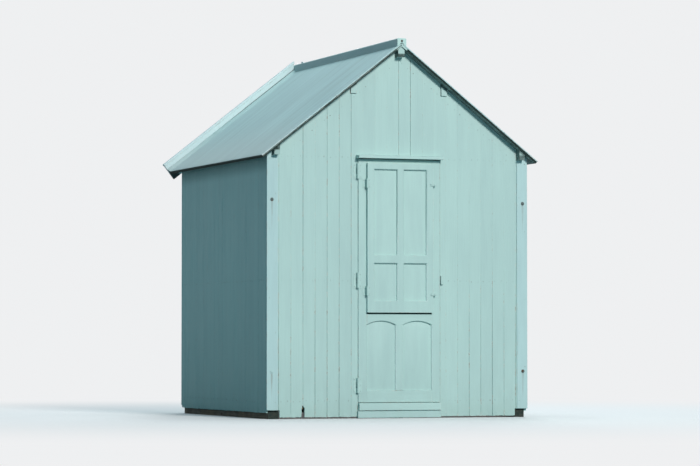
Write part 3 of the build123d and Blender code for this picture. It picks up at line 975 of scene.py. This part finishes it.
def soffit_shade_finish():
    """Paint made dark under the overhangs as painted shade, in patches, and near-black painted
    shade on the end grain along the front and the eaves, but for the ends next to the ridge,
    painted pale."""
    # The dark paint under the overhangs is painted shade.
    paint = oil_paint("soffit_shade_paint", tinted(mint, 0.5), "slope", boarded=True, grime=0)
    bare_inside(paint, "slope")
    y, along = axes_of(paint)["Y"], roof_axes(paint)[0]
    patches = mottle(spots(paint), 0.06, 6.0, 0.65)
    outside = figure("GREATER_THAN", figure("ABSOLUTE", y), outside_wall)
    # Patches of painted shade under the overhangs.
    overlay(times(outside, between(patches, 0.35, 0.65, 0.1, 0.7)), wet_black_and_shade, 0.85)
    at_front = figure("LESS_THAN", y, roof_front + front_end_shade)
    at_eaves = figure("GREATER_THAN", along, slope_length - eaves_end_shade)
    # Near-black painted shade on the board ends along the front edge and the eaves.
    overlay(figure("MAXIMUM", at_front, at_eaves), wet_black_and_shade, 0.85)
    # Next to the ridge the board ends are painted pale instead.
    ragged = figure("ADD", along, times(patches, 0.05))
    pale_by_ridge = times(between(ragged, ridge_clear + ridge_clear_edge, ridge_clear), at_front)
    overlay(pale_by_ridge, tinted(mint, 0.95), 0.5)
    return paint


soffit_shade_paint = soffit_shade_finish()
for side, node, seed in ((-1, "left_roof_slope", 41), (1, "right_roof_slope", 42)):
    slope_boards = board_slope(node.replace("slope", "boards"), side, seed)
    fit(slope_boards, soffit_shade_paint, "hut", "roof_paint", node)
bpy.data.objects.remove(wall_board)

# Roof covering. Canvas is stretched over the boards, folded down over the front edge and
# the eaves, and tacked along the fold. It is painted with many coats, so that it looks
# smooth, with the boards just telling through and rain streaks down the slope.

roof_blue = (0.465, 0.640, 0.640, 1)
eaves_grey = (0.60, 0.63, 0.61, 1)
streak_dark = (0.30, 0.42, 0.41, 1)
lichen_green = (0.42, 0.47, 0.38, 1)
canvas_thickness, canvas_top = 0.0022, 0.0225
canvas_fold, canvas_over = 0.0080, 0.0020
canvas_back_gap = 0.0005
canvas_cells = (26, 44)
canvas_wave, canvas_wave_size = 0.0016, 0.22
fold_arris, canvas_crease = 0.003, 50
fillet_width, fillet_rise = 0.036, 0.022
eaves_edge_shade_inner, eaves_edge_shade_outer = 0.0032, 0.0018
greyed_length = 0.6
verge_shadow_inner, verge_shadow_outer = 0.013, 0.006
tack_spacing, tack_rise = 0.075, 0.0005
front_tacks_start, eaves_tacks_start = 0.03, 0.035


def paint_eaves_shade(material):
    """Paints near-black shade on what hangs over the edge of the eaves."""
    over = slope_length + canvas_over
    along = roof_axes(material)[0]
    edge = between(along, over - eaves_edge_shade_inner, over - eaves_edge_shade_outer, 0.0, 0.93)
    overlay(edge, wet_black_and_shade, 0.85)
    return material


def canvas_paint():
    """Many coats of roof paint on canvas, dull, streaked, with the board joints telling, and a
    painted shadow line along the foot of the verge boards.
    """
    material = oil_paint("roof_paint", roof_blue, "slope", wear=0.25, grime=0, dull=0.66)
    y, along = axes_of(material)["Y"], roof_axes(material)[0]
    joint = figure("PINGPONG", times(figure("SUBTRACT", y, roof_front), 1 / board_cover), 0.5)
    overlay(between(joint, 0.05, 0.0, 0.0, 0.22), tinted(roof_blue, 0.84), 0.7)
    washed = mottle(lengthwise(material, "slope", 0.08), 0.09, 6.0, 0.65)
    overlay(between(washed, 0.5, 0.75, 0.0, 0.5), tinted(roof_blue, 1.22), 0.6)
    overlay(between(washed, 0.46, 0.30, 0.0, 0.35), streak_dark, 0.7)
    lichen = mottle(spots(material), 0.05, 8.0, 0.7)
    overlay(between(lichen, 0.66, 0.72, 0.0, 0.35), lichen_green, 0.85)
    greyed = between(along, slope_length - greyed_length, slope_length, 0.0, 0.45)
    overlay(greyed, eaves_grey, 0.8)
    # A painted shadow line along the foot of the verge boards, in the upper part of the slope.
    verge_shadow_line = between(y, roof_back - verge_shadow_inner, roof_back - verge_shadow_outer)
    overlay(times(verge_shadow_line, between(along, 0.9, 0.4, 0.0, 0.8)), wet_black_and_shade, 0.8)
    return paint_eaves_shade(material)


def lay_canvas(name, side):
    """One slope's canvas, made flat and turned up to the slope."""
    length = slope_length + canvas_over
    front, back = roof_front - canvas_over, roof_back - canvas_back_gap
    canvas = new_piece(bpy.ops.mesh.primitive_grid_add, x_subdivisions=canvas_cells[0],
                       y_subdivisions=canvas_cells[1], size=1, location=(0.5, 0.5, 0))
    open_mesh(canvas)
    bpy.ops.mesh.select_all(action="SELECT")
    bpy.ops.transform.resize(value=(length, back - front, 1), center_override=(0, 0, 0))
    verge_line = back - front if side < 0 else 0
    saw((0, abs(verge_line - fillet_width), 0), (0, 1, 0), clear=False)
    shift(canvas, lambda place: abs(place.y - verge_line) < 1e-4, (0, 0, fillet_rise))

    def is_rim(edge):
        return edge.is_boundary and not all(end.co.x > length - 1e-4 for end in edge.verts)

    pick(canvas, "edges", is_rim)
    bpy.ops.mesh.extrude_region_move(TRANSFORM_OT_translate={"value": (0, 0, -canvas_fold)})
    pick(canvas, "edges", lambda edge: len(edge.link_faces) == 2 and edge.calc_face_angle() > 1)
    bevel_picked(fold_arris, 3)
    close_mesh()
    waves = bpy.data.textures.new(name + "_waves", "CLOUDS")
    waves.noise_scale = canvas_wave_size
    shape(canvas, "DISPLACE", texture=waves, strength=canvas_wave, mid_level=0.5)
    shape(canvas, "SOLIDIFY", thickness=canvas_thickness, offset=-1)
    corner = on_slope(side, -canvas_over, canvas_top, front if side < 0 else back)
    canvas.data.transform(up_slope(side, corner, flat=True))
    canvas.name = name
    shade(canvas, True)
    take_up(canvas)
    bpy.ops.object.shade_smooth_by_angle(angle=math.radians(canvas_crease))
    return canvas


def tack_places(side):
    """Tacks along the folds over one slope's front edge and its eaves."""
    places = []
    off = canvas_top - canvas_fold * 0.55
    face = canvas_over + tack_rise
    for i in range(int(slope_length / tack_spacing)):
        up = front_tacks_start + i * tack_spacing
        places.append(Matrix.Translation(on_slope(side, up, off, roof_front - face)))
    ridgewards, square_off = slope_ways(side)
    outward = Matrix((ridgewards.cross(square_off), ridgewards, square_off)).transposed()
    for i in range(int((roof_back - roof_front) / tack_spacing)):
        spot = on_slope(side, -face, off, roof_front + eaves_tacks_start + i * tack_spacing)
        places.append(Matrix.Translation(spot) @ outward.to_4x4())
    return places


roof_paint = canvas_paint()
for side, name in ((-1, "left_roof_canvas"), (1, "right_roof_canvas")):
    fit(lay_canvas(name, side), roof_paint, "hut", "roof_paint")
# The tacks along the eaves fold take the same painted shade.
tack_iron = paint_eaves_shade(painted_iron("tack_iron", tinted(roof_blue, 0.92), 0.30))
drive("roof_tacks", nail, tack_places(-1) + tack_places(1), tack_iron)

# Ridge batten. A squared batten with bevelled shoulders is bedded over the joint of the
# slopes, from the front edge back to the verge boards, and held by a bolt at its end.

batten_arris = 0.003
batten_bolt_scale, batten_bolt_drop = 0.7, 0.020

# The batten's paint is darker than the roof's, as painted shade on its sides, and its end is
# painted pale.
batten_shaded_paint = oil_paint("batten_shaded_paint", tinted(roof_blue, 0.88), "back", wear=0.8, grime=0)
batten_end = figure("LESS_THAN", axes_of(batten_shaded_paint)["Y"], roof_front + batten_arris)
overlay(batten_end, tinted(mint, 1.08), 0.55)
put_in("ridge_batten", batten_arris, batten_shaded_paint, "roof_paint")
batten_low, batten_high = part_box("ridge_batten")
end_bolt = Matrix.Translation((0, batten_low.y, batten_high.z - batten_bolt_drop))
drive("ridge_bolt", bolt, [end_bolt @ Matrix.Scale(batten_bolt_scale, 4)], bolt_iron)

# Verge boards. Along the back edge of the roof a board on each slope stands up above the
# covering, with a bevelled cap nailed along its top to shed the rain.

verge_arris, cap_arris = 0.002, 0.0015
verge_pale = (0.570, 0.705, 0.715, 1)
verge_shade_inner, verge_shade_outer = 0.07, 0.05
roof_thickness, verge_rise, cap_thickness = 0.022, 0.054, 0.016
cap_nail_spacing, cap_nails_start = 0.16, 0.05

verge_paint = oil_paint("verge_paint", verge_pale, "slope", wear=0.7, grime=0)
# Near-black painted shade on the foot of each verge board, where it hangs below the roof.
along, above = roof_axes(verge_paint)
foot_start, foot_end = slope_length - verge_shade_inner, slope_length - verge_shade_outer
verge_foot_shade = times(figure("LESS_THAN", above, 0.0), between(along, foot_start, foot_end, 0.0, 0.9))
overlay(verge_foot_shade, wet_black_and_shade, 0.85)
put_in("verge_boards", verge_arris, verge_paint, "roof_paint")
put_in("verge_caps", cap_arris, verge_paint, "roof_paint")


def cap_nails(side):
    """Nails down the middle of one slope's cap."""
    low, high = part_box("verge_caps")
    ridgewards, square_off = slope_ways(side)
    facing = Matrix((Vector((0, side, 0)), -square_off, ridgewards)).transposed().to_4x4()
    top = roof_thickness + verge_rise + cap_thickness
    return [
        Matrix.Translation(on_slope(side, cap_nails_start + i * cap_nail_spacing, top,
                                    (low.y + high.y) / 2)) @ facing
        for i in range(int(slope_length / cap_nail_spacing))
    ]


drive("cap_nails", nail, cap_nails(-1) + cap_nails(1), tack_iron)

# Doorway. The sill's nose falls to the front to throw off rain, and a thin kick board,
# green with damp, closes the gap below it. A drip board over the door throws the rain
# clear. All are planed softwood, painted with the walls.

joinery_arris = 0.0016
kick_forward = 0.028
kick_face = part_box("kick_board")[0].y


def bring_forward(piece):
    shift(piece, lambda place: place.y < kick_face + 0.001, (0, -kick_forward, 0))


sill_paint = oil_paint("sill_paint", tinted(mint, 1.10), "across", wear=1.0)
# The kick board's paint is made paler, as painted light for what the ground throws up under the
# sill's nose.
kick_paint_with_painted_light = oil_paint("kick_paint_with_painted_light", tinted(mint, 1.08, 1.03), "across", wear=0.5, grime=0.4)
drip_paint = oil_paint("drip_paint", tinted(mint, 1.05), "across", wear=0.6)
put_in("door_sill", joinery_arris, sill_paint)
put_in("kick_board", joinery_arris, kick_paint_with_painted_light, work=bring_forward)
put_in("drip_board", joinery_arris, drip_paint)

# Door. A leaf of mortised stiles, rails and a muntin hangs in the opening of the boards and
# shuts against the posts. It holds two arch-headed, raised and fielded panels below, and
# behind the upper leaf it is open as a window. It is painted with the walls.

door_arris, panel_arris = 0.0011, 0.0008
rail_chamfer = 0.009
sill_gap_closed = 0.003
left_face_light = (0.80, 0.95, 0.92, 1)
left_face_light_high, left_face_light_low = 1.5, 1.2
leaf_shadow_middle, leaf_shadow_dark, leaf_shadow_clear = 0.003, 0.006, 0.010
leaf_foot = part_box("upper_leaf_frame")[0].z
door_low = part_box("door_stiles")[0]

stile_paint = oil_paint("stile_paint", tinted(mint, 1.005), "up", wear=0.55)
# Painted light on the faces turned to the left, more of it lower down, where the lamp leaves them
# in shade.
low_down = between(axes_of(stile_paint)["Z"], left_face_light_high, left_face_light_low, 0.2, 0.9)
overlay(times(faces_left(stile_paint), low_down), left_face_light, 0.6)
rail_paint = oil_paint("rail_paint", tinted(mint, 1.01), "across", wear=0.55)
panel_paint = oil_paint("panel_paint", tinted(mint, 1.015), "up", wear=0.3, grime=0.05)
lock_rail_paint = oil_paint("lock_rail_paint", tinted(mint, 1.01), "across", wear=0.55)
# A band of painted shadow on the lock rail under the upper leaf's foot.
off_leaf_shadow = figure("SUBTRACT", leaf_foot - leaf_shadow_middle, axes_of(lock_rail_paint)["Z"])
in_leaf_shadow = between(figure("ABSOLUTE", off_leaf_shadow), leaf_shadow_clear, leaf_shadow_dark)
overlay(in_leaf_shadow, wet_black_and_shade, 0.8)


def bring_down(piece):
    """Brings the door's foot nearer to the sill."""
    shift(piece, lambda place: place.z < door_low.z + 0.001, (0, 0, -sill_gap_closed))


def chamfer_rail(piece):
    """Brings the rail's foot down and takes off the arris under the panels."""
    bring_down(piece)
    places = [vertex.co for vertex in bmesh.from_edit_mesh(piece.data).verts]
    face = door_low.y + 0.001
    top = max(place.z for place in places if place.y < face) - 0.001
    pick(piece, "edges", lambda edge: all(end.co.y < face and end.co.z > top for end in edge.verts))
    bevel_picked(rail_chamfer)


for node, finish, arris, work in (
    ("door_stiles", stile_paint, door_arris, bring_down),
    ("door_muntin", stile_paint, door_arris, None),
    ("door_top_rail", rail_paint, door_arris, None),
    ("door_lock_rail", lock_rail_paint, door_arris, None),
    ("door_bottom_rail", rail_paint, door_arris, chamfer_rail),
    ("door_panels", panel_paint, panel_arris, None),
):
    put_in(node, arris, finish, body="door", work=work)

# Upper leaf. A framed shutter with bevelled bars closes over the door's window. It
# stands proud of the door on cranked hinges, and its four sunk panels are rebated in
# from the back.

put_in("upper_leaf_frame", door_arris, stile_paint, body="door")
put_in("upper_leaf_panels", panel_arris, panel_paint, body="door")

# Ironwork. Cranked steel hinges carry the door and the upper leaf, with plates screwed to
# the faces. Two turn catches close the leaf, and a box keeper on the wall takes the
# lock's bolt. All were painted over with the timber, and have rusted.

iron_arris = 0.0005
keeper_chamfer = 0.008
door_plate, leaf_plate = 0.0033, 0.0023
screw_radius, screw_rise, screw_spin = 0.0036, 0.0011, 0.4
screw_slot, slot_depth, screw_arris = 0.0009, 0.002, 0.0003
door_hinges, door_screw_reach = (0.235, 0.981, 1.760), 0.042
leaf_hinges, leaf_screw_reach = (0.906, 1.673), 0.022
bracket_screws_in, strap_screws_in = 0.011, 0.012
fixed_screws_in, loose_screws_in = 0.009, 0.010
keeper_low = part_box("lock_keeper")[0]


def chamfer_keeper(piece):
    """Takes off the keeper's arris on the door's side, where the bolt slides in."""
    x, y = keeper_low.x + 0.001, keeper_low.y + 0.001
    pick(piece, "edges", lambda edge: all(end.co.y < y and end.co.x < x for end in edge.verts))
    bevel_picked(keeper_chamfer, 3)


hinge_iron = painted_iron("hinge_iron", tinted(mint, 1.04), 0.12, worn=0.3)
for node, body, work in (
    ("door_hinge_brackets", "hut", None),
    ("lock_keeper", "hut", chamfer_keeper),
    ("door_hinge_straps", "door", None),
    ("upper_leaf_hinges", "door", None),
    ("upper_leaf_catches", "door", None),
):
    put_in(node, iron_arris, hinge_iron, "painted_iron", body, work)


def slotted_screw():
    """A slotted screw head at the origin, facing -Y."""
    head = disc(screw_radius, screw_rise, 12, spin=screw_spin)
    ease(head, screw_arris, 1)
    reach, half = screw_radius * 2, screw_slot / 2
    slot = block("slot", (-reach, -slot_depth, -half), (reach, 0, half))
    cut_out(head, [slot])
    clear_away([slot])
    return head


def screw_places(plate_x, face_y, middles, reach, rows=(-1, 1)):
    """Rows of screws up a plate."""
    chance = random.Random(51)
    return [
        Matrix.Translation((plate_x, face_y, middle + row * reach))
        @ Matrix.Rotation(chance.uniform(0, math.pi), 4, "Y")
        for middle in middles for row in rows
    ]


screw = slotted_screw()
bracket_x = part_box("door_hinge_brackets")[0].x + bracket_screws_in
strap_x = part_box("door_hinge_straps")[1].x - strap_screws_in
leaf_hinge_low, leaf_hinge_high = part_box("upper_leaf_hinges")
leaf_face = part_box("upper_leaf_frame")[0].y - leaf_plate
door_hinge_rows, leaf_hinge_rows = (door_hinges, door_screw_reach), (leaf_hinges, leaf_screw_reach)
wall_screws = screw_places(bracket_x, -wall_face - door_plate, *door_hinge_rows)
door_screws = [
    *screw_places(strap_x, door_low.y - door_plate, *door_hinge_rows, (-1, 0, 1)),
    *screw_places(leaf_hinge_low.x + fixed_screws_in, door_low.y - leaf_plate, *leaf_hinge_rows),
    *screw_places(leaf_hinge_high.x - loose_screws_in, leaf_face, *leaf_hinge_rows),
]
screw_iron = painted_iron("screw_iron", tinted(mint, 0.90), 0.2, worn=0.5)
drive("hinge_screws", screw, wall_screws, screw_iron)
drive("door_screws", screw, door_screws, screw_iron, "door")
clear_away([nail, bolt, screw])

# Studio. A pale floor goes over into the pale background. A large soft lamp stands high in
# front, with a weak one overhead and another behind, and a camera looks at the hut as the
# photograph does.

floor_reach = 60.0
floor_grey = (0.84, 0.84, 0.84, 1)
floor_bounce = (0.13, 0.23, 0.26, 1)
backdrop_white = (0.86, 0.87, 0.88, 1)
sky_fill, sky_strength = (0.31, 0.78, 1.0, 1), 0.235
lamps = {
    "key_lamp": ((4.0, -36.0, 18.2), 7.2, 13050.0, (1.0, 0.975, 0.95)),
    "overhead_lamp": ((0.8, 1.5, 9.5), 4.5, 300.0, (0.92, 0.98, 1.0)),
    "back_lamp": ((7.0, 15.0, 7.0), 6.0, 900.0, (0.90, 0.97, 1.0)),
}
lamp_aim = (0, 0, 1.2)
camera_place, camera_aim = (-7.8775, -21.0727, 0.5189), (0.02, 0.05, 1.36)
camera_lens, camera_sensor = 155.0, 36.0


def hang(name, data, place, aim):
    """Puts a lamp or camera at a place, pointed at a spot."""
    thing = bring_in(name, data)
    thing.location = place
    thing.rotation_euler = (Vector(aim) - Vector(place)).to_track_quat("-Z", "Y").to_euler()
    return thing


def seen_directly(tree):
    """1 for what the camera sees, straight or in a reflection, and 0 for the lighting."""
    path = add(tree, "LightPath").outputs
    mirrored = figure("MAXIMUM", path["Is Glossy Ray"], path["Is Transmission Ray"])
    return figure("MAXIMUM", path["Is Camera Ray"], mirrored)


def end_with(share, first, second, output):
    """Ends a tree with two shaders, the second by a share."""
    tree = share.id_data
    either = add(tree, "MixShader", {0: share, 1: first.outputs[0], 2: second.outputs[0]})
    tree.links.new(either.outputs[0], tree.nodes[output].inputs["Surface"])


def light_sky():
    world = bpy.data.worlds.new("studio")
    bpy.context.scene.world = world
    world.use_nodes = True
    tree = world.node_tree
    fill = tree.nodes["Background"]
    fill.inputs["Color"].default_value = sky_fill
    fill.inputs["Strength"].default_value = sky_strength
    backdrop = add(tree, "Background", {"Color": backdrop_white})
    end_with(seen_directly(tree), fill, backdrop, "World Output")


def lay_studio_floor():
    ground = new_piece(bpy.ops.mesh.primitive_plane_add, size=2 * floor_reach)
    ground.name = "studio_floor"
    material = new_material("studio_floor")
    tree = material.node_tree
    shader = tree.nodes["Principled BSDF"]
    shader.inputs["Roughness"].default_value = 0.9
    grey = blended(mottle(spots(material), 0.5), floor_grey, tinted(floor_grey, 1.03))
    grey = blended(seen_directly(tree), floor_bounce, grey)
    tree.links.new(grey, shader.inputs["Base Color"])
    glow = add(tree, "Emission", {"Color": backdrop_white})
    away = add(tree, "VectorMath", {0: spots(material)}, operation="LENGTH").outputs["Value"]
    share = times(between(away, 1.5, 7.0, 0.12, 1.0), seen_directly(tree))
    end_with(share, shader, glow, "Material Output")
    ground.data.materials.append(material)


lay_studio_floor()
light_sky()
for name, (place, size, watts, colour) in lamps.items():
    light = bpy.data.lights.new(name, "AREA")
    light.energy, light.size, light.color = watts, size, colour
    hang(name, light, place, lamp_aim)

lens = bpy.data.cameras.new("camera")
lens.sensor_width, lens.lens = camera_sensor, camera_lens
bpy.context.scene.camera = hang("camera", lens, camera_place, camera_aim)
bpy.context.scene.view_settings.view_transform = "Standard"
